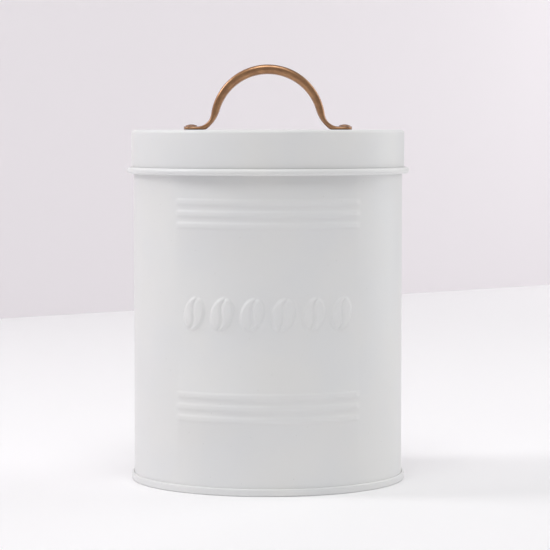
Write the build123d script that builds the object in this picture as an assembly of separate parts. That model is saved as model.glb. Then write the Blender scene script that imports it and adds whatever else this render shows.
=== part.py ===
"""Round kitchen tin for coffee, with a push-on lid and a bow handle. Millimetres, +Z up.

The origin is the centre of the base, on the surface that the tin stands on. The front is -Y, and the
handle spans X. The tin is sheet steel: a rolled wall and a base pan joined by a double seam, and a
drawn lid with a curled edge. Under the lid a pressed plug carries a silicone seal, and two rivets hold
the handle, the lid and the plug together.
"""
import os
from math import asin, atan, cos, degrees, radians, sin, sqrt

from build123d import *

# Wall
WALL_RADIUS = 55.0          # outside of the plain wall
WALL_SHEET = 0.35
MOUTH_Z = 141.7             # top of the mouth's inward curl
MOUTH_CURL_RADIUS = 0.9     # centreline of the curl
MOUTH_CURL_TURN = 285

# Pressed ribs across the front, three above and three below the emblem
RIB_ARC = 84.0              # degrees that each rib spans
RIB_WIDTH = 3.2
RIB_HEIGHT = 0.45
RIB_PITCH = 4.6
RIB_END_MARGIN = 0.06       # by which a rib's end is fuller than the rib
RIBS_IN_GROUP = 3
UPPER_RIBS_DROP = 15.1      # middle rib of the upper group, below the lid's edge
LOWER_RIBS_Z = 34.3         # middle rib of the lower group

# Emblem: a row of embossed coffee beans, each with an S-shaped crease
BEAN_COUNT = 6
BEAN_DROP = 1.05            # row's middle, below the middle between the rib groups
BEAN_HEIGHT = 14.0
BEAN_WIDTH = 9.4
BEAN_RELIEF = 0.9
BEAN_SINK = 1.0             # how far the dome's centre lies inside the face
BEAN_PITCH = 12.2           # along the wall
BEAN_TILT = 18.0            # degrees, leaning right
CREASE_WIDTH = 1.0
CREASE_DEPTH = 0.25
CREASE_SWING = 30.0         # degrees that each half of the S leans

# Side seam: a lapped weld at the back
WELD_WIDTH = 3.2
WELD_RISE = 0.1             # on each face
WELD_END_GAP = 1.5          # bare wall between the weld and each shaped end

# Base pan and double seam
PAN_SHEET = 0.35
SEAM_GAP = 0.03             # between layers
SEAM_HEIGHT = 3.0
SEAM_CORNER = 0.45          # centreline bend under the seam
HOOK_TIP_GAP = 0.25         # from a hook's tip to the bend that holds it
PAN_PANEL_Z = 3.5           # top of the base panel
PAN_BEND = 0.8
PAN_BEAD_RADIUS = 38.0
PAN_BEAD_WIDTH = 4.0
PAN_BEAD_HEIGHT = 0.6

# Lid
LID_SHEET = 0.4
LID_HEADROOM = 1.2          # mouth to the lid's underside, where the seal lies
LID_CLEARANCE = 0.5         # skirt to wall, radial
LID_CORNER = 1.3            # centreline bend at the top edge
LID_DEPTH = 17.8            # top face to the bottom of the curled edge
LID_NECK_BEND = 1.6         # the skirt necks in above its curled edge
LID_NECK_TURN = 20.0
LID_CURL_RADIUS = 1.1
LID_CURL_TURN = 285

# Plug under the lid
PLUG_SHEET = 0.35
PLUG_MOUTH_GAP = 3.65       # plug's wall to the mouth, where the seal's sleeve and lips lie
PLUG_DEPTH = 8.4            # lid underside to the bottom of the plug's flange
PLUG_BEND = 1.0
PLUG_FLANGE_BEND = 0.6
PLUG_FLANGE_REACH = 2.2     # beyond the plug's wall
PLUG_GAP = 0.02             # to the lid's underside

# Seal
SEAL_GAP = 0.05             # to the metal that holds it
SEAL_SLEEVE = 1.4
SEAL_GASKET = 0.9           # thickness over the mouth
SEAL_GASKET_REACH = 1.15    # beyond the mouth
SEAL_LIP_CLEARANCE = 0.15   # lip to mouth, radial
SEAL_LIP_ROOT = 1.1
SEAL_LIP_TIP = 0.5
SEAL_LIP_DROPS = (2.0, 4.3)  # top of each lip's root, below the lid's underside
SEAL_ROUND = 0.15

# Handle: a bow with flattened feet. Heights are above the lid.
BOW_RISE = 26.6
BOW_RADIUS = 23.5           # outside
BOW_CROWN = 3.9             # thickness at the top
BOW_LEG = 2.9               # how much tighter the inside's radius is
BOW_WIDTH = 9.0
BOW_EDGE = 0.5              # rounding of the edges
FOOT_SHEET = 1.35
FOOT_LENGTH = 8.9           # from the heel's corner to the tip
FOOT_END = 3.05             # from the rivet to the tip
FOOT_CORNER = 3.6           # rounding of the tips in plan
FOOT_FLARE_ABOVE = 5.7      # bend from leg to foot, on the upper face
FOOT_FLARE_BELOW = 15.0     # on the lower face
FOOT_HEEL_ROUND = 2.0
FOOT_GAP = 0.02             # to the lid

# Rivets and washers
RIVET_SHANK = 1.5           # radius
RIVET_CLEARANCE = 0.1       # shank to hole, radial
RIVET_HEAD_RADIUS = 2.4
RIVET_HEAD_RISE = 0.85
RIVET_EDGE = 0.25           # upright edge of a head or tail
RIVET_TAIL_RADIUS = 2.3
RIVET_TAIL_RISE = 0.75
RIVET_FLARE_GAP = 0.1       # head to the foot's bend
RIVET_SEAT_GAP = 0.02
WASHER_RADIUS = 3.6
WASHER_THICKNESS = 0.6
WASHER_EDGE = 0.12

# Places that follow from these
WALL_CENTRELINE = WALL_RADIUS - WALL_SHEET / 2
LAYER_PITCH = WALL_SHEET / 2 + PAN_SHEET / 2 + SEAM_GAP
HOOK_BEND_Z = PAN_SHEET + SEAM_GAP + WALL_SHEET / 2 + LAYER_PITCH
COVER_BEND_Z = SEAM_HEIGHT - PAN_SHEET / 2 - LAYER_PITCH
MOUTH_CURL_Z = MOUTH_Z - MOUTH_CURL_RADIUS - WALL_SHEET / 2
MOUTH_RADIUS = WALL_CENTRELINE - 2 * MOUTH_CURL_RADIUS - WALL_SHEET / 2
LID_UNDERSIDE_Z = MOUTH_Z + LID_HEADROOM
LID_TOP_Z = LID_UNDERSIDE_Z + LID_SHEET
LID_EDGE_Z = LID_TOP_Z - LID_DEPTH
LID_CENTRELINE = WALL_RADIUS + LID_CLEARANCE + LID_SHEET / 2
UPPER_RIBS_Z = LID_EDGE_Z - UPPER_RIBS_DROP
BEAN_Z = (UPPER_RIBS_Z + LOWER_RIBS_Z) / 2 - BEAN_DROP
PLUG_RADIUS = MOUTH_RADIUS - PLUG_MOUTH_GAP
PLUG_TOP_Z = LID_UNDERSIDE_Z - PLUG_GAP
PLUG_UNDERSIDE_Z = PLUG_TOP_Z - PLUG_SHEET
PLUG_FLANGE_Z = LID_UNDERSIDE_Z - PLUG_DEPTH + PLUG_SHEET / 2
WASHER_TOP_Z = PLUG_UNDERSIDE_Z - RIVET_SEAT_GAP
TAIL_TOP_Z = WASHER_TOP_Z - WASHER_THICKNESS - RIVET_SEAT_GAP
FOOT_UNDERSIDE_Z = LID_TOP_Z + FOOT_GAP
FOOT_TOP_Z = FOOT_UNDERSIDE_Z + FOOT_SHEET
HEAD_UNDERSIDE_Z = FOOT_TOP_Z + RIVET_SEAT_GAP
RIVET_HOLE = RIVET_SHANK + RIVET_CLEARANCE

OUT, UP, IN, DOWN = 0, 90, 180, 270     # headings in a section, where X is the radius


# Bent sheet

def run(length):
    """A straight stretch of sheet."""
    return ("run", length, 0)


def bend(radius, turn):
    """A bend of the sheet's centreline through turn degrees, positive to the left."""
    return ("bend", radius, turn)


def rib(width, height):
    """A pressed rib that stands out to the right of the heading."""
    lean = degrees(2 * atan(2 * height / width))
    radius = width / (4 * sin(radians(lean)))
    return [bend(radius, -lean), bend(radius, 2 * lean), bend(radius, -lean)]


def sheet_section(start, heading, moves, thickness):
    """The section of a bent sheet, a face in the XZ plane, made by following the moves from start."""
    left, right = [], []
    here = Vector(start[0], 0, start[1])
    for kind, size, turn in moves:
        along = Vector(cos(radians(heading)), 0, sin(radians(heading)))
        across = Vector(-along.Z, 0, along.X)
        if kind == "run":
            there = here + along * size
            for edges, offset in ((left, thickness / 2), (right, -thickness / 2)):
                edges.append(Line(here + across * offset, there + across * offset))
        else:
            side = 1 if turn > 0 else -1
            centre = here + across * (side * size)
            spoke = here - centre
            there = centre + spoke.rotate(Axis.Y, -turn)
            for edges, offset in ((left, thickness / 2), (right, -thickness / 2)):
                reach = (size - side * offset) / size
                stops = [centre + spoke.rotate(Axis.Y, -turn * part) * reach for part in (0, 0.5, 1)]
                edges.append(ThreePointArc(*stops))
            heading += turn
        here = there
    ends = [Line(left[0] @ 0, right[0] @ 0), Line(left[-1] @ 1, right[-1] @ 1)]
    return Face(Wire(left + right + ends))


def turned(section, arc=360):
    """A section spun about the tin's axis."""
    return revolve(section, axis=Axis.Z, revolution_arc=arc)


# Tin

def rib_heights():
    """The height of each rib's middle, from the lowest."""
    first = (1 - RIBS_IN_GROUP) / 2
    return [
        group_z + (first + place) * RIB_PITCH
        for group_z in (LOWER_RIBS_Z, UPPER_RIBS_Z)
        for place in range(RIBS_IN_GROUP)
    ]


def ribbed_wall():
    """The moves up the front of the wall, ribs included."""
    moves = []
    z = HOOK_BEND_Z
    for rib_z in rib_heights():
        moves += [run(rib_z - RIB_WIDTH / 2 - z), *rib(RIB_WIDTH, RIB_HEIGHT)]
        z = rib_z + RIB_WIDTH / 2
    return moves + [run(MOUTH_CURL_Z - z)]


def wall_sector(rise, arc, middle):
    """A sector of the wall about the heading middle, with the hook at its foot and the mouth's curl."""
    hook_tip_z = COVER_BEND_Z - HOOK_TIP_GAP
    hook = [run(hook_tip_z - HOOK_BEND_Z), bend(LAYER_PITCH, -180)]
    curl = [bend(MOUTH_CURL_RADIUS, MOUTH_CURL_TURN)]
    start = (WALL_CENTRELINE + 2 * LAYER_PITCH, hook_tip_z)
    section = sheet_section(start, DOWN, hook + rise + curl, WALL_SHEET)
    return Rot(0, 0, middle - arc / 2) * turned(section, arc)


def rib_ends():
    """The closed ends of the ribs: short solid lumps, a little fuller than the ribs."""
    arc = degrees(2 * WALL_SHEET / WALL_RADIUS)
    half = RIB_WIDTH / 2 + RIB_END_MARGIN
    crown = WALL_RADIUS + RIB_HEIGHT + RIB_END_MARGIN
    ends = []
    for rib_z in rib_heights():
        foot = (WALL_CENTRELINE, 0, rib_z - half)
        head = (WALL_CENTRELINE, 0, rib_z + half)
        section = Face(Wire([ThreePointArc(foot, (crown, 0, rib_z), head), Line(head, foot)]))
        for turn in (-90 - RIB_ARC / 2, -90 + RIB_ARC / 2):
            ends.append(Rot(0, 0, turn - arc / 2) * turned(section, arc))
    return ends


def side_weld():
    """The lapped side seam, a strip of thicker wall at the back."""
    low_z = SEAM_HEIGHT + WELD_END_GAP
    high_z = MOUTH_CURL_Z - WELD_END_GAP
    section = sheet_section((WALL_CENTRELINE, low_z), UP, [run(high_z - low_z)], WALL_SHEET + 2 * WELD_RISE)
    arc = degrees(WELD_WIDTH / WALL_RADIUS)
    return Rot(0, 0, 90 - arc / 2) * turned(section, arc)


def bean_dome(face_radius, shrink):
    """A dome that breaks a face of the wall in a bean's outline, less shrink all round."""
    reach = BEAN_SINK + BEAN_RELIEF
    spread = 1 / sqrt(1 - (BEAN_SINK / reach) ** 2)
    half_width = (BEAN_WIDTH / 2 - shrink) * spread
    half_height = (BEAN_HEIGHT / 2 - shrink) * spread
    return Pos(face_radius - BEAN_SINK, 0, 0) * scale(Sphere(1), by=(reach, half_width, half_height))


def bean_crease():
    """The S-shaped band that the crease follows, standing through the wall."""
    half = BEAN_HEIGHT / 2 + CREASE_WIDTH
    radius = half / (2 * sin(radians(CREASE_SWING)))
    curve = [bend(radius, -2 * CREASE_SWING), bend(radius, 2 * CREASE_SWING)]
    band = sheet_section((0, -half), UP + CREASE_SWING, curve, CREASE_WIDTH)
    depth = 2 * (BEAN_SINK + BEAN_RELIEF)
    return Pos(WALL_RADIUS, 0, 0) * Rot(0, 0, 90) * extrude(band, amount=depth, both=True)


def bean_place(index):
    """Where a bean goes: from the +X side of the wall to its place in the row at the front."""
    along = (index - (BEAN_COUNT - 1) / 2) * BEAN_PITCH
    turn = degrees(along / WALL_RADIUS) - 90
    return Rot(0, 0, turn) * Pos(0, 0, BEAN_Z) * Rot(-BEAN_TILT, 0, 0)


def tin_wall():
    crease = bean_crease() - bean_dome(WALL_RADIUS - CREASE_DEPTH, 0)
    raised = bean_dome(WALL_RADIUS, 0) - crease
    hollow = bean_dome(WALL_RADIUS - WALL_SHEET, WALL_SHEET)
    inside = Pos(0, 0, BEAN_Z) * Cylinder(WALL_CENTRELINE, 2 * BEAN_HEIGHT)
    places = [bean_place(index) for index in range(BEAN_COUNT)]
    front = wall_sector(ribbed_wall(), RIB_ARC, -90)
    rest = wall_sector([run(MOUTH_CURL_Z - HOOK_BEND_Z)], 360 - RIB_ARC, 90)
    wall = front + rest + rib_ends() + side_weld() + [place * raised - inside for place in places]
    return wall - [place * hollow for place in places]


def base_pan():
    """The base, from its hook inside the seam, over and under the wall's hook, to the centre."""
    hook_tip_z = HOOK_BEND_Z + HOOK_TIP_GAP
    pan_wall = WALL_CENTRELINE - LAYER_PITCH
    moves = [
        run(COVER_BEND_Z - hook_tip_z),
        bend(LAYER_PITCH, -180),
        run(COVER_BEND_Z - PAN_SHEET / 2 - SEAM_CORNER),
        bend(SEAM_CORNER, -90),
        run(4 * LAYER_PITCH - 2 * SEAM_CORNER),
        bend(SEAM_CORNER, -90),
        run(PAN_PANEL_Z - PAN_SHEET - SEAM_CORNER - PAN_BEND),
        bend(PAN_BEND, 90),
        run(pan_wall - PAN_BEND - PAN_BEAD_RADIUS - PAN_BEAD_WIDTH / 2),
        *rib(PAN_BEAD_WIDTH, PAN_BEAD_HEIGHT),
        run(PAN_BEAD_RADIUS - PAN_BEAD_WIDTH / 2),
    ]
    return turned(sheet_section((WALL_CENTRELINE + LAYER_PITCH, hook_tip_z), UP, moves, PAN_SHEET))


# Lid

def rivet_holes(low_z, high_z):
    """Two drills through whatever the rivets pass, from one height to another."""
    middle_z = (low_z + high_z) / 2
    return [Pos(side * RIVET_X, 0, middle_z) * Cylinder(RIVET_HOLE, high_z - low_z) for side in (-1, 1)]


def lid_cap():
    """The drawn lid: a flat top, a rounded shoulder, a skirt that necks in and an edge rolled outwards."""
    curl_z = LID_EDGE_Z + LID_SHEET / 2 + LID_CURL_RADIUS
    middle_z = LID_TOP_Z - LID_SHEET / 2
    neck_height = 2 * LID_NECK_BEND * sin(radians(LID_NECK_TURN))
    moves = [
        run(LID_CENTRELINE - LID_CORNER),
        bend(LID_CORNER, -90),
        run(middle_z - LID_CORNER - curl_z - neck_height),
        bend(LID_NECK_BEND, -LID_NECK_TURN),
        bend(LID_NECK_BEND, LID_NECK_TURN),
        bend(LID_CURL_RADIUS, LID_CURL_TURN),
    ]
    cap = turned(sheet_section((0, middle_z), OUT, moves, LID_SHEET))
    return cap - rivet_holes(LID_UNDERSIDE_Z - LID_SHEET, LID_TOP_Z + LID_SHEET)


def lid_plug():
    """The pressed plug: a disc under the lid, a wall down from it and a flange that holds the seal."""
    middle_z = PLUG_TOP_Z - PLUG_SHEET / 2
    moves = [
        run(PLUG_RADIUS - PLUG_SHEET / 2 - PLUG_BEND),
        bend(PLUG_BEND, -90),
        run(middle_z - PLUG_BEND - PLUG_FLANGE_Z - PLUG_FLANGE_BEND),
        bend(PLUG_FLANGE_BEND, 90),
        run(PLUG_FLANGE_REACH + PLUG_SHEET / 2 - PLUG_FLANGE_BEND),
    ]
    plug = turned(sheet_section((0, middle_z), OUT, moves, PLUG_SHEET))
    return plug - rivet_holes(PLUG_UNDERSIDE_Z - PLUG_SHEET, PLUG_TOP_Z + PLUG_SHEET)


def lid_seal():
    """The silicone seal: a sleeve round the plug, a gasket over the mouth and lips inside it."""
    inner = PLUG_RADIUS + SEAL_GAP
    outer = inner + SEAL_SLEEVE
    top_z = LID_UNDERSIDE_Z - SEAL_GAP
    bottom_z = PLUG_FLANGE_Z + PLUG_SHEET / 2 + SEAL_GAP
    tip = MOUTH_RADIUS - SEAL_LIP_CLEARANCE
    reach = MOUTH_RADIUS + SEAL_GASKET_REACH
    taper = (SEAL_LIP_ROOT - SEAL_LIP_TIP) / 2
    points = [(inner, top_z), (reach, top_z), (reach, top_z - SEAL_GASKET), (outer, top_z - SEAL_GASKET)]
    for drop in SEAL_LIP_DROPS:
        root_z = LID_UNDERSIDE_Z - drop
        points += [
            (outer, root_z),
            (tip, root_z - taper),
            (tip, root_z - taper - SEAL_LIP_TIP),
            (outer, root_z - SEAL_LIP_ROOT),
        ]
    points += [
        (outer, bottom_z),
        (inner + PLUG_FLANGE_BEND, bottom_z),
        (inner, bottom_z + PLUG_FLANGE_BEND),
    ]
    outline = Polyline(*[(radius, 0, z) for radius, z in points], close=True)
    section = Face(Wire(outline.edges()))
    return turned(fillet(section.vertices(), SEAL_ROUND))


# Handle

def touching_centre(circle_centre, circle_radius, flare):
    """The centre of an arc that leaves the bow's circle and ends level on the foot's upper face."""
    z = FOOT_TOP_Z + flare
    x = sqrt((circle_radius + flare) ** 2 - (z - circle_centre.Z) ** 2)
    return Vector(x, 0, z)


def passing_centre(circle_centre, circle_radius, flare, point):
    """The centre of an arc that leaves the bow's circle and ends at a point."""
    span = point - circle_centre
    reach = circle_radius + flare
    along = (reach ** 2 - flare ** 2 + span.length ** 2) / (2 * span.length)
    aside = sqrt(reach ** 2 - along ** 2)
    direction = span.normalized()
    return circle_centre + direction * along + Vector(-direction.Z, 0, direction.X) * aside


def arc_about(centre, start, end):
    middle = ((start - centre) + (end - centre)).normalized() * (start - centre).length
    return ThreePointArc(start, centre + middle, end)


OUTER_CENTRE = Vector(0, 0, FOOT_UNDERSIDE_Z + BOW_RISE - BOW_RADIUS)
INNER_RADIUS = BOW_RADIUS - BOW_LEG
INNER_CENTRE = Vector(0, 0, FOOT_UNDERSIDE_Z + BOW_RISE - BOW_CROWN - INNER_RADIUS)
FLARE_CENTRE = touching_centre(OUTER_CENTRE, BOW_RADIUS, FOOT_FLARE_ABOVE)
RIVET_X = FLARE_CENTRE.X + RIVET_FLARE_GAP + RIVET_HEAD_RADIUS
FOOT_TIP_X = RIVET_X + FOOT_END


def bow_outline():
    """The side view of the handle: two near-concentric arcs that flare into level feet."""
    outer_top = OUTER_CENTRE + Vector(0, 0, BOW_RADIUS)
    outer_end = OUTER_CENTRE + (FLARE_CENTRE - OUTER_CENTRE).normalized() * BOW_RADIUS
    foot_start = Vector(FLARE_CENTRE.X, 0, FOOT_TOP_Z)
    tip_top = Vector(FOOT_TIP_X, 0, FOOT_TOP_Z)
    tip_bottom = Vector(FOOT_TIP_X, 0, FOOT_UNDERSIDE_Z)
    heel = Vector(FOOT_TIP_X - FOOT_LENGTH, 0, FOOT_UNDERSIDE_Z)
    under_centre = passing_centre(INNER_CENTRE, INNER_RADIUS, FOOT_FLARE_BELOW, heel)
    inner_end = INNER_CENTRE + (under_centre - INNER_CENTRE).normalized() * INNER_RADIUS
    inner_top = INNER_CENTRE + Vector(0, 0, INNER_RADIUS)
    half = [
        arc_about(OUTER_CENTRE, outer_top, outer_end),
        arc_about(FLARE_CENTRE, outer_end, foot_start),
        Line(foot_start, tip_top),
        Line(tip_top, tip_bottom),
        Line(tip_bottom, heel),
        arc_about(under_centre, heel, inner_end),
        arc_about(INNER_CENTRE, inner_end, inner_top),
    ]
    outline = Face(Wire(half + mirror(half, about=Plane.YZ).edges()))
    heels = [
        corner for corner in outline.vertices()
        if (Vector(abs(corner.X), 0, corner.Z) - heel).length < 0.01
    ]
    return fillet(heels, FOOT_HEEL_ROUND)


def handle_bow():
    bow = extrude(bow_outline(), amount=BOW_WIDTH / 2, both=True)
    tips = [edge for edge in bow.edges().filter_by(Axis.Z) if abs(edge.center().X) > FOOT_TIP_X - 0.01]
    bow = fillet(tips, FOOT_CORNER)
    side_edges = [edge for face in bow.faces().filter_by(Axis.Y) for edge in face.edges()]
    tip_edges = [
        edge for edge in bow.edges()
        if abs(edge.center().X) > FOOT_TIP_X - FOOT_CORNER and abs(edge.tangent_at(0.5).Z) < 0.1
    ]
    bow = fillet(side_edges + tip_edges, BOW_EDGE)
    return bow - rivet_holes(FOOT_UNDERSIDE_Z - FOOT_SHEET, FOOT_TOP_Z + FOOT_SHEET)


# Rivets and washers

def dome_arc(radius, edge_z, top_z):
    """From the rim of a head to its middle, on the arc that meets the axis squarely."""
    rise = abs(top_z - edge_z)
    curve = (radius ** 2 + rise ** 2) / (2 * rise)
    half_angle = asin(radius / curve) / 2
    drop = curve * (1 - cos(half_angle))
    middle_z = top_z - drop if top_z > edge_z else top_z + drop
    return ThreePointArc((radius, 0, edge_z), (curve * sin(half_angle), 0, middle_z), (0, 0, top_z))


def rivet(x):
    """One rivet: a domed head on the foot, a shank and a formed tail under the washer."""
    head_edge_z = HEAD_UNDERSIDE_Z + RIVET_EDGE
    head_top_z = HEAD_UNDERSIDE_Z + RIVET_HEAD_RISE
    tail_edge_z = TAIL_TOP_Z - RIVET_EDGE
    tail_bottom_z = TAIL_TOP_Z - RIVET_TAIL_RISE
    head_rim = Line((RIVET_HEAD_RADIUS, 0, HEAD_UNDERSIDE_Z), (RIVET_HEAD_RADIUS, 0, head_edge_z))
    tail_rim = Line((RIVET_TAIL_RADIUS, 0, tail_edge_z), (RIVET_TAIL_RADIUS, 0, TAIL_TOP_Z))
    section = Face(Wire([
        Line((0, 0, tail_bottom_z), (0, 0, head_top_z)),
        dome_arc(RIVET_HEAD_RADIUS, head_edge_z, head_top_z),
        head_rim,
        Line((RIVET_HEAD_RADIUS, 0, HEAD_UNDERSIDE_Z), (RIVET_SHANK, 0, HEAD_UNDERSIDE_Z)),
        Line((RIVET_SHANK, 0, HEAD_UNDERSIDE_Z), (RIVET_SHANK, 0, TAIL_TOP_Z)),
        Line((RIVET_SHANK, 0, TAIL_TOP_Z), (RIVET_TAIL_RADIUS, 0, TAIL_TOP_Z)),
        tail_rim,
        dome_arc(RIVET_TAIL_RADIUS, tail_edge_z, tail_bottom_z),
    ]))
    return Pos(x, 0, 0) * turned(section)


def washer(x):
    ring = Cylinder(WASHER_RADIUS, WASHER_THICKNESS) - Cylinder(RIVET_HOLE, WASHER_THICKNESS)
    ring = chamfer(ring.edges(), WASHER_EDGE)
    return Pos(x, 0, WASHER_TOP_Z - WASHER_THICKNESS / 2) * ring


NODES = {
    "tin_wall": tin_wall,
    "base_pan": base_pan,
    "lid_cap": lid_cap,
    "lid_plug": lid_plug,
    "lid_seal": lid_seal,
    "handle_bow": handle_bow,
    "rivet_left": lambda: rivet(-RIVET_X),
    "rivet_right": lambda: rivet(RIVET_X),
    "washer_left": lambda: washer(-RIVET_X),
    "washer_right": lambda: washer(RIVET_X),
}

os.makedirs("parts", exist_ok=True)
for node, make in NODES.items():
    export_step(make(), f"parts/{node}.step")
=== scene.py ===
"""The looks of a white kitchen tin for coffee: sheet metal, seal, copper-coloured handle, rivets, stage.

Metres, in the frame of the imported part: +Z up, the front at -Y, the handle across X. Each piece stands
for one part of the frame and takes its place from that part's box.
"""
from math import asin, atan, atan2, copysign, cos, degrees, exp, hypot, pi, radians, sin, sqrt

import bmesh
import bpy
from mathutils import Matrix, Vector


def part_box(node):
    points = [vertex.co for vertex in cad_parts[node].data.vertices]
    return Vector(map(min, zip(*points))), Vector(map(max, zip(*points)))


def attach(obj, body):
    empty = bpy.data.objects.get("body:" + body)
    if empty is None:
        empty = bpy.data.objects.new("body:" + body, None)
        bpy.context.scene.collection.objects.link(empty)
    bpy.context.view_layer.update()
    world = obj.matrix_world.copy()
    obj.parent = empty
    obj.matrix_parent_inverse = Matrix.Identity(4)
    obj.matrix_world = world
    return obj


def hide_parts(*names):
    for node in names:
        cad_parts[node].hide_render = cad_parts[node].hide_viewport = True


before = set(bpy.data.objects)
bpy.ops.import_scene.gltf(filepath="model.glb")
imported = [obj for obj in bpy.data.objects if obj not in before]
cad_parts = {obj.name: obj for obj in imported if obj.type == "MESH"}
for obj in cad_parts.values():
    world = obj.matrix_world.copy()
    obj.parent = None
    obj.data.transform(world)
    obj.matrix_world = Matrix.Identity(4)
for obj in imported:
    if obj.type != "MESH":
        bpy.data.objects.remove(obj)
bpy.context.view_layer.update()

MM = 0.001

# Sheet, the same all round
WALL_SHEET = 0.35 * MM
PAN_SHEET = 0.35 * MM
LID_SHEET = 0.40 * MM
PLUG_SHEET = 0.35 * MM
SHEET_EDGE = 0.08 * MM              # rounding of a cut edge
SHARP_TURN = radians(50)            # an edge sharper than this is rounded

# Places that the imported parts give
WALL_LOW, WALL_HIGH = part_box("tin_wall")
CAP_LOW, CAP_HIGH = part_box("lid_cap")
PLUG_LOW, PLUG_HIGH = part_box("lid_plug")
SEAL_LOW, SEAL_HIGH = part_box("lid_seal")
BOW_LOW, BOW_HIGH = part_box("handle_bow")
RIVET_LOW, RIVET_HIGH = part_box("rivet_right")

# Tin
WALL_RADIUS = 55.0 * MM
WALL_CENTRELINE = WALL_RADIUS - WALL_SHEET / 2
MOUTH_CURL = 0.9 * MM
MOUTH_CURL_TURN = 285
LAYER_PITCH = 0.38 * MM             # from one layer of the double seam to the next
SEAM_HEIGHT = 3.0 * MM
SEAM_CORNER = 0.45 * MM
HOOK_TIP_GAP = 0.25 * MM
HOOK_BEND_Z = WALL_LOW.z + WALL_SHEET / 2 + LAYER_PITCH
COVER_BEND_Z = SEAM_HEIGHT - PAN_SHEET / 2 - LAYER_PITCH
MOUTH_CURL_Z = WALL_HIGH.z - MOUTH_CURL - WALL_SHEET / 2

# Ribs and emblem
RIB_ARC = radians(84)
RIB_FADE = 3.0 * MM                 # over which a rib's end sinks into the wall
RIB_FLANK = 1.5                     # steepness of a rib's sides
RIB_ROWS = 8
RIB_WIDTH = 3.2 * MM
RIB_HEIGHT = 0.45 * MM
RIB_PITCH = 4.6 * MM
RIBS_IN_GROUP = 3
LOWER_RIBS_Z = 34.3 * MM
UPPER_RIBS_Z = CAP_LOW.z - 15.1 * MM
RIB_HEIGHTS = [
    group_z + (place + (1 - RIBS_IN_GROUP) / 2) * RIB_PITCH
    for group_z in (LOWER_RIBS_Z, UPPER_RIBS_Z)
    for place in range(RIBS_IN_GROUP)
]
BEAN_COUNT = 6
BEAN_Z = (LOWER_RIBS_Z + UPPER_RIBS_Z) / 2 - 1.05 * MM
BEAN_HEIGHT = 14.0 * MM
BEAN_WIDTH = 9.4 * MM
BEAN_PITCH = 12.2 * MM
BEAN_RELIEF = 0.9 * MM
BEAN_TILT = radians(18)
BEAN_SHOULDER = 0.8 * MM            # over which the sheet leaves the plain wall
BEAN_RIM = 0.45                     # share of the relief that the shoulder reaches, before the crown
BEAN_REACH = 1.6                    # in bean sizes, beyond which the wall is plain
CREASE_DEPTH = 0.55 * MM
CREASE_WIDTH = 0.62 * MM
CREASE_SWING = 0.95 * MM
CREASE_SHOULDER = 1.2 * BEAN_SHOULDER

# Base
PAN_PANEL_Z = 3.5 * MM
PAN_BEND = 0.8 * MM
PAN_BEAD_RADIUS = 38.0 * MM
PAN_BEAD_WIDTH = 4.0 * MM
PAN_BEAD_HEIGHT = 0.6 * MM

# Weld
WELD_WIDTH = 3.2 * MM
WELD_RISE = 0.1 * MM
WELD_SHOULDER = 0.35 * MM

# Lid
LID_CORNER = 1.3 * MM
LID_NECK_BEND = 1.6 * MM            # the skirt necks in above its rolled edge
LID_NECK_TURN = 20
LID_CURL = 1.1 * MM
LID_CURL_TURN = 285
PLUG_BEND = 1.0 * MM
PLUG_FLANGE_BEND = 0.6 * MM
PLUG_RADIUS = 49.2 * MM

# Seal
SEAL_INNER_RADIUS = PLUG_RADIUS + 0.05 * MM
SEAL_SLEEVE = 1.4 * MM
SEAL_GASKET = 0.9 * MM
SEAL_LIP_CLEARANCE = 0.15 * MM
SEAL_LIP_ROOT = 1.1 * MM
SEAL_LIP_TIP = 0.5 * MM
SEAL_LIP_DROPS = (2.0 * MM, 4.3 * MM)
SEAL_ROUND = 0.15 * MM

# Handle
BOW_RADIUS = 23.5 * MM
BOW_CROWN = 3.9 * MM
BOW_LEG = 2.9 * MM
BOW_ROUND = 1.6 * MM                # rounding of the bar before its feet are flattened
BOW_BAR = 100 * MM                  # the straight bar that is bent into the bow
BOW_STRETCHES = 3                   # on each side: the bow, the bend and the foot
BOW_STEPS = 28                      # along each stretch
BOW_EDGE = 0.3 * MM
HEEL_REACH = 0.9 * MM               # to each side of a heel, within which the bar is smoothed
HEEL_PASSES = 6
FOOT_SHEET = 1.35 * MM
FOOT_LENGTH = 8.9 * MM
FOOT_CORNER = 3.6 * MM
FOOT_FLARE_ABOVE = 5.7 * MM
FOOT_FLARE_BELOW = 15.0 * MM

# Rivets and washers
RIVET_SHANK = 1.5 * MM
RIVET_HOLE = 1.6 * MM
RIVET_HEAD_RADIUS = 2.4 * MM
RIVET_HEAD_RISE = 0.85 * MM
RIVET_TAIL_RADIUS = 2.3 * MM
RIVET_TAIL_RISE = 0.75 * MM
RIVET_EDGE = 0.25 * MM
RIVET_ROUND = 0.12 * MM
WASHER_ROUND = 0.1 * MM

SPIN_STEPS = 160                    # round a plain ring
SMALL_SPIN_STEPS = 48               # round a rivet or a washer
BEND_STEP = 18                      # degrees

# Finishes
ENAMEL_COOL = (0.790, 0.795, 0.800)
ENAMEL_WARM = (0.810, 0.808, 0.800)
ENAMEL_SPECK = (0.70, 0.70, 0.69)
COPPER_BRIGHT = (0.47, 0.25, 0.118)
COPPER_BROWN = (0.31, 0.155, 0.075)
STEEL_BRIGHT = (0.66, 0.66, 0.65)
STEEL_GREY = (0.54, 0.54, 0.54)
SILICONE_CLEAR = (0.72, 0.72, 0.69)
SILICONE_MILKY = (0.80, 0.80, 0.78)

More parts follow.
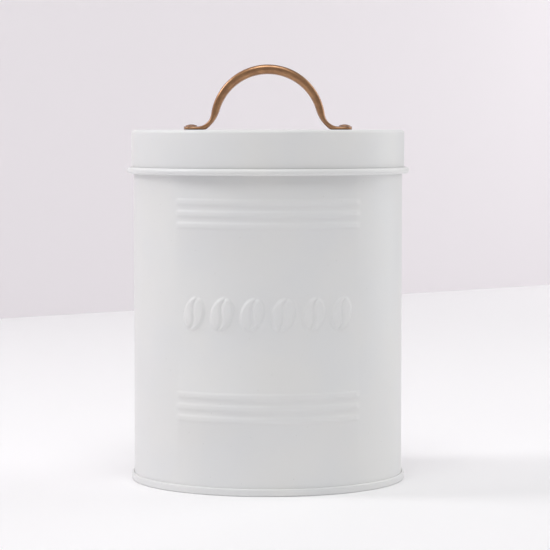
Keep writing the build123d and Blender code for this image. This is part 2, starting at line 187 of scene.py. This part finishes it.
# Stage
TABLE_SIZE = (8, 8)
TABLE_COLOUR = (0.95, 0.945, 0.955)
TABLE_ROUGHNESS = 0.6
BACK_WALL_SIZE = (8, 6)
BACK_WALL_COLOUR = (0.84, 0.80, 0.83)
BACK_WALL_ROUGHNESS = 0.8
BACK_WALL_Y = 1.0
WALL_TURN = radians(40.5)
ROOM_LIGHT = 0.405
LAMPS = {                           # where each stands, what it is turned to, its size and its power
    "window_left": ((-0.95, 0.0, 0.92), (0, 0, 0.05), (0.33, 0.33), 3.9),
    "panel_above": ((0, -0.6, 1.5), (0, 0, 0.07), (0.9, 0.9), 9),
    "panel_right": ((0.8, 0.35, 0.45), (0, 0, 0.08), (0.7, 0.9), 2.7),
    "wall_wash": ((0.85, 0.95, 0.5), (0.35, 1.28, 0.2), (0.3, 0.3), 1.0),
    "wall_glow": ((0.6, 1.1, 0.35), (0.35, 1.28, 0.15), (0.15, 0.15), 0.35),
}

# Camera
LENS = 159.3                        # in millimetres, as the sensor is
SENSOR_WIDTH = 36
NEAREST_SEEN = 10 * MM
CAMERA_DISTANCE = 1000.5 * MM
CAMERA_X = 2.9 * MM
CAMERA_ABOVE_LID = 1.5 * MM
CAMERA_PITCH = radians(3.503)


# Bent sheet: a profile in the XZ plane, where X is the radius, grown move by move from one vertex

OUT, UP, DOWN = 0, 90, 270


def run(length, parts=1):
    return ("run", length, 0, parts)


def corner(turn):
    """A sharp turn of the heading, positive to the left."""
    return ("corner", 0, turn, 0)


def bend(radius, turn, parts=None):
    """A bend through turn degrees, positive to the left of the heading."""
    return ("bend", radius, turn, parts or max(2, round(abs(turn) / BEND_STEP)))


def rib(width, height, parts=2):
    """A pressed rib that stands out to the right of the heading."""
    lean = degrees(2 * atan(2 * height / width))
    radius = width / (4 * sin(radians(lean)))
    return [bend(radius, -lean, parts), bend(radius, 2 * lean, 2 * parts), bend(radius, -lean, parts)]


def sheet_profile(bm, start, heading, moves):
    """The centreline of a bent sheet, as edges that follow the moves from start."""
    tip = bmesh.ops.create_vert(bm, co=(start[0], 0, start[1]))["vert"][0]
    for kind, size, turn, parts in moves:
        along = Vector((cos(radians(heading)), 0, sin(radians(heading))))
        if kind == "run":
            for _ in range(parts):
                grown = bmesh.ops.extrude_vert_indiv(bm, verts=[tip])["verts"]
                bmesh.ops.translate(bm, verts=grown, vec=along * size / parts)
                tip = grown[0]
        if kind == "bend":
            left = Vector((-along.z, 0, along.x))
            centre = tip.co + left * (size if turn > 0 else -size)
            grown = bmesh.ops.spin(
                bm, geom=[tip], cent=centre, axis=(0, 1, 0), angle=-radians(turn), steps=parts,
            )["geom_last"]
            tip = [item for item in grown if isinstance(item, bmesh.types.BMVert)][0]
        heading += turn
    return bm.verts[:] + bm.edges[:]


def spin_round(bm, geom, sectors):
    """Spins a profile about the tin's axis through sectors of (degrees, steps), and closes the ring."""
    for angle, steps in sectors:
        geom = bmesh.ops.spin(
            bm, geom=geom, cent=(0, 0, 0), axis=(0, 0, 1), angle=radians(angle), steps=steps,
            use_merge=angle == 360,
        )["geom_last"]
    bmesh.ops.remove_doubles(bm, verts=bm.verts[:], dist=0.002 * MM)
    bmesh.ops.recalc_face_normals(bm, faces=bm.faces[:])


def finish_mesh(name, bm):
    mesh = bpy.data.meshes.new(name)
    bm.to_mesh(mesh)
    bm.free()
    mesh.shade_smooth()
    piece = bpy.data.objects.new(name, mesh)
    bpy.context.scene.collection.objects.link(piece)
    return piece


def place(piece, body, slot, material, *nodes):
    """Gives a piece its finish and ties it to the frame."""
    piece.data.materials.append(material)
    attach(piece, body)
    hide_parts(*nodes)
    return piece


def soften_edges(piece, width):
    soften = piece.modifiers.new("soft_edges", "BEVEL")
    soften.width = width
    soften.segments = 3
    soften.limit_method = "ANGLE"
    soften.angle_limit = SHARP_TURN


def thicken(piece, thickness):
    """Gives a centreline surface its sheet thickness, with softened cut edges."""
    sheet = piece.modifiers.new("sheet", "SOLIDIFY")
    sheet.thickness = thickness
    sheet.offset = 0
    sheet.use_even_offset = True
    soften_edges(piece, SHEET_EDGE)
    return piece


# Tin wall

FRONT = (92, 206)                   # degrees and steps of the fine sector with the ribs and the emblem
SIDE = (131.6, 50)
BACK = (4.8, 14)                    # fine again across the weld
EMBLEM_REACH = BEAN_HEIGHT / 2 + 1.6 * MM
EMBLEM_ROWS = 38


def wall_moves():
    """From the hook's tip, over the hook and up the wall, to the end of the mouth's curl."""
    hook_tip_z = COVER_BEND_Z - HOOK_TIP_GAP
    moves = [run(hook_tip_z - HOOK_BEND_Z), bend(LAYER_PITCH, -180, 8)]
    pressed = [(rib_z - RIB_WIDTH / 2, rib_z + RIB_WIDTH / 2, RIB_ROWS) for rib_z in RIB_HEIGHTS]
    pressed.append((BEAN_Z - EMBLEM_REACH, BEAN_Z + EMBLEM_REACH, EMBLEM_ROWS))
    z = HOOK_BEND_Z
    for low_z, high_z, rows in sorted(pressed):
        moves += [run(low_z - z), run(high_z - low_z, rows)]
        z = high_z
    return moves + [run(MOUTH_CURL_Z - z), bend(MOUTH_CURL, MOUTH_CURL_TURN, 16)]


def smooth_step(value):
    """0 below 0, 1 above 1, and a smooth rise between."""
    value = min(max(value, 0), 1)
    return value * value * (3 - 2 * value)


def rib_relief(along, z):
    """How far a rib stands out at a place on the wall, along its front and up."""
    fade = smooth_step((RIB_ARC / 2 * WALL_RADIUS - abs(along)) / RIB_FADE)
    nearest = min(abs(z - rib_z) for rib_z in RIB_HEIGHTS)
    across = min(nearest / (RIB_WIDTH / 2), 1)
    return RIB_HEIGHT * fade * smooth_step(RIB_FLANK * (1 - across))


def bean_relief(along, up):
    """How far the wall stands out at a place in a bean's own axes."""
    half_width = BEAN_WIDTH / 2
    half_height = BEAN_HEIGHT / 2
    reach = hypot(along / half_width, up / half_height)
    if reach > BEAN_REACH:
        return 0
    inset = (1 - reach) * half_width
    shoulder = smooth_step(inset / BEAN_SHOULDER)
    crown = sqrt(max(1 - reach * reach, 0))
    body = BEAN_RELIEF * shoulder * (BEAN_RIM + (1 - BEAN_RIM) * crown)
    off_crease = abs(along + CREASE_SWING * sin(pi * up / half_height))
    crease = CREASE_DEPTH * exp(-(off_crease / CREASE_WIDTH) ** 2)
    return body - crease * smooth_step(inset / CREASE_SHOULDER)


def emboss(bm):
    """Presses the ribs and the row of beans out of the wall's front, and raises the weld at its back."""
    for vert in bm.verts:
        radius = hypot(vert.co.x, vert.co.y)
        if radius < WALL_CENTRELINE - 0.1 * MM or not SEAM_HEIGHT + MM < vert.co.z < MOUTH_CURL_Z - MM:
            continue
        front = atan2(vert.co.x, -vert.co.y) * WALL_RADIUS
        back = atan2(vert.co.x, vert.co.y) * WALL_RADIUS
        rise = WELD_RISE * smooth_step((WELD_WIDTH / 2 - abs(back)) / WELD_SHOULDER + 0.5)
        rise += rib_relief(front, vert.co.z)
        if abs(vert.co.z - BEAN_Z) < EMBLEM_REACH:
            for index in range(BEAN_COUNT):
                along = front - (index - (BEAN_COUNT - 1) / 2) * BEAN_PITCH
                up = vert.co.z - BEAN_Z
                turned = along * cos(BEAN_TILT) - up * sin(BEAN_TILT)
                rise += bean_relief(turned, up * cos(BEAN_TILT) + along * sin(BEAN_TILT))
        vert.co.x *= 1 + rise / radius
        vert.co.y *= 1 + rise / radius


def make_wall(material):
    bm = bmesh.new()
    start = (WALL_CENTRELINE + 2 * LAYER_PITCH, COVER_BEND_Z - HOOK_TIP_GAP)
    profile = sheet_profile(bm, start, DOWN, wall_moves())
    first_edge = Matrix.Rotation(radians(-90 - FRONT[0] / 2), 3, "Z")
    bmesh.ops.rotate(bm, cent=(0, 0, 0), matrix=first_edge, verts=bm.verts[:])
    spin_round(bm, profile, [FRONT, SIDE, BACK, SIDE])
    emboss(bm)
    wall = thicken(finish_mesh("wall_shell", bm), WALL_SHEET)
    return place(wall, "tin", "white_enamel", material, "tin_wall")


def make_base(material):
    hook_tip_z = HOOK_BEND_Z + HOOK_TIP_GAP
    pan_wall = WALL_CENTRELINE - LAYER_PITCH
    moves = [
        run(COVER_BEND_Z - hook_tip_z),
        bend(LAYER_PITCH, -180, 10),
        run(COVER_BEND_Z - PAN_SHEET / 2 - SEAM_CORNER),
        bend(SEAM_CORNER, -90, 5),
        run(4 * LAYER_PITCH - 2 * SEAM_CORNER),
        bend(SEAM_CORNER, -90, 5),
        run(PAN_PANEL_Z - PAN_SHEET - SEAM_CORNER - PAN_BEND),
        bend(PAN_BEND, 90, 6),
        run(pan_wall - PAN_BEND - PAN_BEAD_RADIUS - PAN_BEAD_WIDTH / 2, 3),
        *rib(PAN_BEAD_WIDTH, PAN_BEAD_HEIGHT, 4),
        run(PAN_BEAD_RADIUS - PAN_BEAD_WIDTH / 2, 5),
    ]
    bm = bmesh.new()
    profile = sheet_profile(bm, (WALL_CENTRELINE + LAYER_PITCH, hook_tip_z), UP, moves)
    spin_round(bm, profile, [(360, SPIN_STEPS)])
    base = thicken(finish_mesh("base_dish", bm), PAN_SHEET)
    return place(base, "tin", "white_enamel", material, "base_pan")


# Lid

def make_cap(material):
    """The drawn lid: a flat top, a rounded shoulder, a skirt that necks in and an edge rolled outwards."""
    neck_in = 2 * LID_NECK_BEND * (1 - cos(radians(LID_NECK_TURN)))
    neck_height = 2 * LID_NECK_BEND * sin(radians(LID_NECK_TURN))
    centreline = CAP_HIGH.x - LID_SHEET / 2 - 2 * LID_CURL + neck_in
    middle_z = CAP_HIGH.z - LID_SHEET / 2
    curl_z = CAP_LOW.z + LID_SHEET / 2 + LID_CURL
    moves = [
        run(centreline - LID_CORNER, 8),
        bend(LID_CORNER, -90, 7),
        run(middle_z - LID_CORNER - curl_z - neck_height, 3),
        bend(LID_NECK_BEND, -LID_NECK_TURN, 4),
        bend(LID_NECK_BEND, LID_NECK_TURN, 4),
        bend(LID_CURL, LID_CURL_TURN, 20),
    ]
    bm = bmesh.new()
    spin_round(bm, sheet_profile(bm, (0, middle_z), OUT, moves), [(360, SPIN_STEPS)])
    cap = thicken(finish_mesh("lid_shell", bm), LID_SHEET)
    return place(cap, "lid", "white_enamel", material, "lid_cap")


def make_plug(material):
    """The pressed plug under the lid, whose flange keeps the seal from slipping off."""
    middle_z = PLUG_HIGH.z - PLUG_SHEET / 2
    flange_z = PLUG_LOW.z + PLUG_SHEET / 2
    moves = [
        run(PLUG_RADIUS - PLUG_SHEET / 2 - PLUG_BEND, 8),
        bend(PLUG_BEND, -90, 6),
        run(middle_z - PLUG_BEND - flange_z - PLUG_FLANGE_BEND),
        bend(PLUG_FLANGE_BEND, 90, 5),
        run(PLUG_HIGH.x - PLUG_RADIUS + PLUG_SHEET / 2 - PLUG_FLANGE_BEND),
    ]
    bm = bmesh.new()
    spin_round(bm, sheet_profile(bm, (0, middle_z), OUT, moves), [(360, SPIN_STEPS)])
    plug = thicken(finish_mesh("seal_carrier", bm), PLUG_SHEET)
    return place(plug, "lid", "bare_steel", material, "lid_plug")


def make_seal(material):
    """The silicone seal, meant as a sleeve round the plug, a gasket over the mouth and two tapered lips.

    Known fault: contextual_create joins the corners by their angle about the middle, not in the order of
    points, so the ring's section is a zigzag that crosses the mouth's curl.
    """
    inner = SEAL_INNER_RADIUS
    outer = inner + SEAL_SLEEVE
    tip = WALL_RADIUS - WALL_SHEET - 2 * MOUTH_CURL - SEAL_LIP_CLEARANCE
    taper = (SEAL_LIP_ROOT - SEAL_LIP_TIP) / 2
    lid_underside_z = CAP_HIGH.z - LID_SHEET
    gasket_z = SEAL_HIGH.z - SEAL_GASKET
    points = [(inner, SEAL_HIGH.z), (SEAL_HIGH.x, SEAL_HIGH.z), (SEAL_HIGH.x, gasket_z), (outer, gasket_z)]
    for drop in SEAL_LIP_DROPS:
        root_z = lid_underside_z - drop
        points += [
            (outer, root_z),
            (tip, root_z - taper),
            (tip, root_z - taper - SEAL_LIP_TIP),
            (outer, root_z - SEAL_LIP_ROOT),
        ]
    points += [
        (outer, SEAL_LOW.z),
        (inner + PLUG_FLANGE_BEND, SEAL_LOW.z),
        (inner, SEAL_LOW.z + PLUG_FLANGE_BEND),
    ]
    bm = bmesh.new()
    corners = [bmesh.ops.create_vert(bm, co=(radius, 0, z))["vert"][0] for radius, z in points]
    bmesh.ops.contextual_create(bm, geom=corners)
    bmesh.ops.bevel(
        bm, geom=corners, offset=SEAL_ROUND, affect="VERTICES", segments=4, profile=0.5, material=-1,
    )
    bmesh.ops.delete(bm, geom=bm.faces[:], context="FACES_ONLY")
    spin_round(bm, bm.verts[:] + bm.edges[:], [(360, SPIN_STEPS)])
    return place(finish_mesh("seal_ring", bm), "lid", "silicone", material, "lid_seal")


# Handle

def touching_centre(circle_z, circle_radius, flare, foot_top_z):
    """The centre of the arc that leaves the bow's circle and ends level on the foot."""
    z = foot_top_z + flare
    return Vector((sqrt((circle_radius + flare) ** 2 - (z - circle_z) ** 2), 0, z))


def passing_centre(circle_z, circle_radius, flare, point):
    """The centre of the arc that leaves the bow's circle and ends at a point."""
    circle_centre = Vector((0, 0, circle_z))
    span = point - circle_centre
    reach = circle_radius + flare
    along = (reach ** 2 - flare ** 2 + span.length_squared) / (2 * span.length)
    direction = span.normalized()
    across = Vector((-direction.z, 0, direction.x))
    return circle_centre + direction * along + across * sqrt(reach ** 2 - along ** 2)


def on_arc(centre, radius, start, end, share):
    angle = start + (end - start) * share
    return Vector((centre.x + radius * cos(angle), 0, centre.z + radius * sin(angle)))


FOOT_TOP_Z = BOW_LOW.z + FOOT_SHEET
FOOT_TIP_X = BOW_HIGH.x
OUTER_CENTRE = Vector((0, 0, BOW_HIGH.z - BOW_RADIUS))
INNER_RADIUS = BOW_RADIUS - BOW_LEG
INNER_CENTRE = Vector((0, 0, BOW_HIGH.z - BOW_CROWN - INNER_RADIUS))
HEEL = Vector((FOOT_TIP_X - FOOT_LENGTH, 0, BOW_LOW.z))
ABOVE_CENTRE = touching_centre(OUTER_CENTRE.z, BOW_RADIUS, FOOT_FLARE_ABOVE, FOOT_TOP_Z)
BELOW_CENTRE = passing_centre(INNER_CENTRE.z, INNER_RADIUS, FOOT_FLARE_BELOW, HEEL)


def outer_edge(stretch, share):
    """A place on the handle's outer outline: stretch 0 is the bow, 1 the bend, 2 the foot."""
    leave = atan2(ABOVE_CENTRE.z - OUTER_CENTRE.z, ABOVE_CENTRE.x)
    if stretch == 0:
        return on_arc(OUTER_CENTRE, BOW_RADIUS, pi / 2, leave, share)
    if stretch == 1:
        return on_arc(ABOVE_CENTRE, FOOT_FLARE_ABOVE, leave + pi, 3 * pi / 2, share)
    start = Vector((ABOVE_CENTRE.x, 0, FOOT_TOP_Z))
    return start.lerp(Vector((FOOT_TIP_X, 0, FOOT_TOP_Z)), share)


def inner_edge(stretch, share):
    leave = atan2(BELOW_CENTRE.z - INNER_CENTRE.z, BELOW_CENTRE.x)
    if stretch == 0:
        return on_arc(INNER_CENTRE, INNER_RADIUS, pi / 2, leave, share)
    if stretch == 1:
        landing = atan2(HEEL.z - BELOW_CENTRE.z, HEEL.x - BELOW_CENTRE.x) + 2 * pi
        return on_arc(BELOW_CENTRE, FOOT_FLARE_BELOW, leave + pi, landing, share)
    return HEEL.lerp(Vector((FOOT_TIP_X, 0, BOW_LOW.z)), share)


def bow_width(x):
    """Half the handle's width, which narrows round the tips of the feet."""
    past = max(abs(x) - (FOOT_TIP_X - FOOT_CORNER), 0)
    return BOW_HIGH.y - FOOT_CORNER + sqrt(max(FOOT_CORNER ** 2 - past ** 2, 0))


def lengthwise_edges(bm):
    """The edges that run the whole length of the straight bar."""
    return [edge for edge in bm.edges if abs(edge.verts[0].co.x - edge.verts[1].co.x) > BOW_BAR / 2]


def make_bow(material):
    """A straight rounded bar, bent into the bow and flattened towards its feet."""
    bm = bmesh.new()
    bmesh.ops.create_cube(bm, size=1)
    bmesh.ops.scale(bm, vec=(BOW_BAR, 2 * BOW_HIGH.y, BOW_CROWN), verts=bm.verts[:])
    bmesh.ops.bevel(
        bm, geom=lengthwise_edges(bm), offset=BOW_ROUND, affect="EDGES", segments=6, profile=0.5, material=-1,
    )
    cuts = 2 * BOW_STRETCHES * BOW_STEPS - 1
    bmesh.ops.subdivide_edges(bm, edges=lengthwise_edges(bm), cuts=cuts, use_grid_fill=True)
    bar = bm.verts.layers.float_vector.new("bar")
    for vert in bm.verts:
        flat = vert.co.copy()
        vert[bar] = flat
        place_on = min(abs(flat.x) / BOW_BAR * 2 * BOW_STRETCHES, BOW_STRETCHES - 1e-9)
        stretch = int(place_on)
        share = place_on - stretch
        low = inner_edge(stretch, share)
        there = low.lerp(outer_edge(stretch, share), flat.z / BOW_CROWN + 0.5)
        there.y = flat.y * bow_width(there.x) / BOW_HIGH.y
        there.x = copysign(there.x, flat.x)
        vert.co = there
    low_verts = [vert for vert in bm.verts if vert.co.z < FOOT_TOP_Z]
    heels = [vert for vert in low_verts if abs(abs(vert.co.x) - HEEL.x) < HEEL_REACH]
    for _ in range(HEEL_PASSES):
        bmesh.ops.smooth_vert(bm, verts=heels, factor=0.5, use_axis_x=False, use_axis_z=True)
    bow = finish_mesh("handle_loop", bm)
    soften_edges(bow, BOW_EDGE)
    return place(bow, "lid", "copper_plate", material, "handle_bow")


# Rivets and washers

def rivet_moves():
    """A rivet's outline from the top of its head, round its shank, to the bottom of its tail."""
    moves = []
    head_rise = RIVET_HEAD_RISE - RIVET_EDGE
    tail_rise = RIVET_TAIL_RISE - RIVET_EDGE
    head_curve = (RIVET_HEAD_RADIUS ** 2 + head_rise ** 2) / (2 * head_rise)
    tail_curve = (RIVET_TAIL_RADIUS ** 2 + tail_rise ** 2) / (2 * tail_rise)
    head_lean = degrees(asin(RIVET_HEAD_RADIUS / head_curve))
    tail_lean = degrees(asin(RIVET_TAIL_RADIUS / tail_curve))
    shank = RIVET_HIGH.z - RIVET_LOW.z - RIVET_HEAD_RISE - RIVET_TAIL_RISE
    return [
        bend(head_curve, -head_lean, 8),
        corner(head_lean - 90),
        run(RIVET_EDGE),
        corner(-90),
        run(RIVET_HEAD_RADIUS - RIVET_SHANK),
        corner(90),
        run(shank),
        corner(90),
        run(RIVET_TAIL_RADIUS - RIVET_SHANK),
        corner(-90),
        run(RIVET_EDGE),
        corner(tail_lean - 90),
        bend(tail_curve, -tail_lean, 6),
    ]


def make_rivet(name, node, material):
    low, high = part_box(node)
    bm = bmesh.new()
    spin_round(bm, sheet_profile(bm, (0, high.z), OUT, rivet_moves()), [(360, SMALL_SPIN_STEPS)])
    bmesh.ops.translate(bm, verts=bm.verts[:], vec=((low.x + high.x) / 2, 0, 0))
    piece = finish_mesh(name, bm)
    soften_edges(piece, RIVET_ROUND)
    return place(piece, "lid", "copper_plate", material, node)


def make_washer(name, node, material):
    low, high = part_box(node)
    thickness = high.z - low.z
    ring = high.y - RIVET_HOLE
    moves = [run(ring), corner(90), run(thickness), corner(90), run(ring), corner(90), run(thickness)]
    bm = bmesh.new()
    spin_round(bm, sheet_profile(bm, (RIVET_HOLE, low.z), OUT, moves), [(360, SMALL_SPIN_STEPS)])
    bmesh.ops.translate(bm, verts=bm.verts[:], vec=((low.x + high.x) / 2, 0, 0))
    piece = finish_mesh(name, bm)
    soften_edges(piece, WASHER_ROUND)
    return place(piece, "lid", "bare_steel", material, node)


# Finishes

def new_finish(name):
    """An empty node material: its node tree and its shader."""
    material = bpy.data.materials.new(name)
    material.use_nodes = True
    tree = material.node_tree
    return material, tree, tree.nodes["Principled BSDF"]


def add_node(tree, kind, inputs=(), **settings):
    """A node with its settings, whose inputs are constants or other nodes' outputs, by socket name."""
    node = tree.nodes.new(kind)
    for key, value in settings.items():
        setattr(node, key, value)
    for key, value in dict(inputs).items():
        if isinstance(value, bpy.types.NodeSocket):
            tree.links.new(value, node.inputs[key])
        else:
            node.inputs[key].default_value = value
    return node


def noise(tree, vector, scale, detail=2, roughness=0.5):
    return add_node(tree, "ShaderNodeTexNoise", {
        "Vector": vector, "Scale": scale, "Detail": detail, "Roughness": roughness,
    }).outputs["Fac"]


def remap(tree, value, span, to_span):
    """A value moved from one span to another, and held within it."""
    return add_node(tree, "ShaderNodeMapRange", {
        "Value": value, "From Min": span[0], "From Max": span[1], "To Min": to_span[0], "To Max": to_span[1],
    }).outputs["Result"]


def blend_colours(tree, share, first, second):
    mix = add_node(tree, "ShaderNodeMix", data_type="RGBA")
    tree.links.new(share, mix.inputs[0])
    for socket, colour in ((mix.inputs[6], first), (mix.inputs[7], second)):
        if isinstance(colour, bpy.types.NodeSocket):
            tree.links.new(colour, socket)
        else:
            socket.default_value = (*colour, 1)
    return mix.outputs[2]


def bump(tree, height, strength, distance, normal=None):
    inputs = {"Height": height, "Strength": strength, "Distance": distance}
    if normal:
        inputs["Normal"] = normal
    return add_node(tree, "ShaderNodeBump", inputs).outputs["Normal"]


def enamel_finish():
    """White satin powder coat: a fine orange peel, faint clouding and a few pale grey specks."""
    material, tree, shader = new_finish("white_enamel")
    place_in = add_node(tree, "ShaderNodeTexCoord").outputs["Object"]
    cloud = noise(tree, place_in, scale=34, detail=3)
    peel = noise(tree, place_in, scale=620)
    grain = noise(tree, place_in, scale=2600)
    specks = add_node(tree, "ShaderNodeTexVoronoi", {"Vector": place_in, "Scale": 210}).outputs["Distance"]
    colour = blend_colours(tree, remap(tree, cloud, (0.35, 0.65), (0, 1)), ENAMEL_COOL, ENAMEL_WARM)
    colour = blend_colours(tree, remap(tree, specks, (0.035, 0.05), (1, 0)), colour, ENAMEL_SPECK)
    tree.links.new(colour, shader.inputs["Base Color"])
    tree.links.new(remap(tree, cloud, (0.3, 0.7), (0.40, 0.50)), shader.inputs["Roughness"])
    surface = bump(tree, peel, strength=0.16, distance=0.05 * MM)
    surface = bump(tree, grain, strength=0.10, distance=0.02 * MM, normal=surface)
    tree.links.new(surface, shader.inputs["Normal"])
    shader.inputs["Specular IOR Level"].default_value = 0.5
    return material


def copper_finish(name, lies_along_bar):
    """Copper-plated steel under clear lacquer, brushed along the bar, a little tarnished."""
    material, tree, shader = new_finish(name)
    place_in = add_node(tree, "ShaderNodeTexCoord").outputs["Object"]
    grain_in = place_in
    if lies_along_bar:
        grain_in = add_node(tree, "ShaderNodeAttribute", attribute_name="bar").outputs["Vector"]
    along = add_node(tree, "ShaderNodeMapping", {"Vector": grain_in, "Scale": (0.035, 1, 1)})
    brushing = noise(tree, along.outputs["Vector"], scale=4200, detail=3, roughness=0.6)
    tarnish = noise(tree, place_in, scale=190, detail=4, roughness=0.6)
    colour = blend_colours(tree, remap(tree, tarnish, (0.36, 0.66), (0, 1)), COPPER_BRIGHT, COPPER_BROWN)
    tree.links.new(colour, shader.inputs["Base Color"])
    shader.inputs["Metallic"].default_value = 1
    shader.inputs["Coat Weight"].default_value = 0.7
    shader.inputs["Coat Roughness"].default_value = 0.16
    rough = add_node(tree, "ShaderNodeMath", {
        0: remap(tree, brushing, (0.3, 0.7), (0.26, 0.38)),
        1: remap(tree, tarnish, (0.4, 0.7), (0, 0.10)),
    }, operation="ADD")
    tree.links.new(rough.outputs[0], shader.inputs["Roughness"])
    tree.links.new(bump(tree, brushing, strength=0.25, distance=0.02 * MM), shader.inputs["Normal"])
    return material


def steel_finish():
    """Bare tinplate with fine turning rings about the tin's axis."""
    material, tree, shader = new_finish("bare_steel")
    place_in = add_node(tree, "ShaderNodeTexCoord").outputs["Object"]
    rings = add_node(tree, "ShaderNodeTexWave", {
        "Vector": place_in, "Scale": 900, "Distortion": 3, "Detail": 3, "Detail Scale": 2,
    }, wave_type="RINGS", rings_direction="Z").outputs["Fac"]
    cloud = noise(tree, place_in, scale=60, detail=4)
    colour = blend_colours(tree, remap(tree, cloud, (0.35, 0.65), (0, 1)), STEEL_BRIGHT, STEEL_GREY)
    tree.links.new(colour, shader.inputs["Base Color"])
    shader.inputs["Metallic"].default_value = 1
    tree.links.new(remap(tree, cloud, (0.3, 0.7), (0.28, 0.4)), shader.inputs["Roughness"])
    tree.links.new(bump(tree, rings, strength=0.08, distance=0.01 * MM), shader.inputs["Normal"])
    return material


def silicone_finish():
    """Milky silicone, matt, with a faint moulded grain."""
    material, tree, shader = new_finish("silicone")
    place_in = add_node(tree, "ShaderNodeTexCoord").outputs["Object"]
    cloud = noise(tree, place_in, scale=90, detail=3)
    grain = noise(tree, place_in, scale=3000)
    colour = blend_colours(tree, cloud, SILICONE_CLEAR, SILICONE_MILKY)
    tree.links.new(colour, shader.inputs["Base Color"])
    tree.links.new(remap(tree, grain, (0.3, 0.7), (0.46, 0.58)), shader.inputs["Roughness"])
    tree.links.new(bump(tree, grain, strength=0.15, distance=0.02 * MM), shader.inputs["Normal"])
    shader.inputs["Subsurface Weight"].default_value = 0.15
    shader.inputs["Subsurface Radius"].default_value = (2 * MM, 2 * MM, 1.8 * MM)
    return material


# Stage

def stage_sheet(name, size, matrix, colour, roughness):
    """A flat pale sheet, the table top or the wall, which can be seen through from behind."""
    bm = bmesh.new()
    bmesh.ops.create_grid(bm, x_segments=1, y_segments=1, size=0.5)
    bmesh.ops.scale(bm, vec=(*size, 1), verts=bm.verts[:])
    bmesh.ops.transform(bm, matrix=matrix, verts=bm.verts[:])
    sheet = finish_mesh(name, bm)
    material, tree, shader = new_finish(name)
    shader.inputs["Base Color"].default_value = (*colour, 1)
    shader.inputs["Roughness"].default_value = roughness
    facing = add_node(tree, "ShaderNodeNewGeometry").outputs["Backfacing"]
    clear = add_node(tree, "ShaderNodeBsdfTransparent").outputs["BSDF"]
    mix = add_node(tree, "ShaderNodeMixShader", {0: facing, 1: shader.outputs["BSDF"], 2: clear})
    tree.links.new(mix.outputs[0], tree.nodes["Material Output"].inputs["Surface"])
    sheet.data.materials.append(material)


def area_light(name, where, target, size, power):
    """A white rectangular lamp, which the camera doesn't see."""
    light = bpy.data.lights.new(name, "AREA")
    light.shape = "RECTANGLE"
    light.size, light.size_y = size
    light.energy = power
    lamp = bpy.data.objects.new(name, light)
    lamp.location = where
    lamp.visible_camera = False
    lamp.rotation_euler = (Vector(target) - Vector(where)).to_track_quat("-Z", "Y").to_euler()
    bpy.context.scene.collection.objects.link(lamp)


def make_stage():
    stage_sheet("table_top", TABLE_SIZE, Matrix.Identity(4), TABLE_COLOUR, TABLE_ROUGHNESS)
    turn = Matrix.Rotation(WALL_TURN, 4, "Z") @ Matrix.Rotation(pi / 2, 4, "X")
    stand = Matrix.Translation((0, BACK_WALL_Y, 0)) @ turn
    stage_sheet("back_wall", BACK_WALL_SIZE, stand, BACK_WALL_COLOUR, BACK_WALL_ROUGHNESS)
    world = bpy.data.worlds.new("room")
    world.use_nodes = True
    world.node_tree.nodes["Background"].inputs["Color"].default_value = (1, 1, 1, 1)
    world.node_tree.nodes["Background"].inputs["Strength"].default_value = ROOM_LIGHT
    bpy.context.scene.world = world
    for name, (where, target, size, power) in LAMPS.items():
        area_light(name, where, target, size, power)
    bpy.context.scene.view_settings.view_transform = "Standard"


def make_camera():
    camera = bpy.data.cameras.new("camera")
    camera.lens = LENS
    camera.sensor_width = SENSOR_WIDTH
    camera.clip_start = NEAREST_SEEN
    view = bpy.data.objects.new("camera", camera)
    view.location = (CAMERA_X, -CAMERA_DISTANCE, CAP_HIGH.z + CAMERA_ABOVE_LID)
    view.rotation_euler = (pi / 2 - CAMERA_PITCH, 0, 0)
    bpy.context.scene.collection.objects.link(view)
    bpy.context.scene.camera = view


enamel = enamel_finish()
copper = copper_finish("copper_bar", True)
rivet_copper = copper_finish("copper_rivet", False)
steel = steel_finish()
silicone = silicone_finish()

make_wall(enamel)
make_base(enamel)
make_cap(enamel)
make_plug(steel)
make_seal(silicone)
make_bow(copper)
for side in ("left", "right"):
    make_rivet(f"rivet_head_{side}", f"rivet_{side}", rivet_copper)
    make_washer(f"backing_washer_{side}", f"washer_{side}", steel)
make_stage()
make_camera()
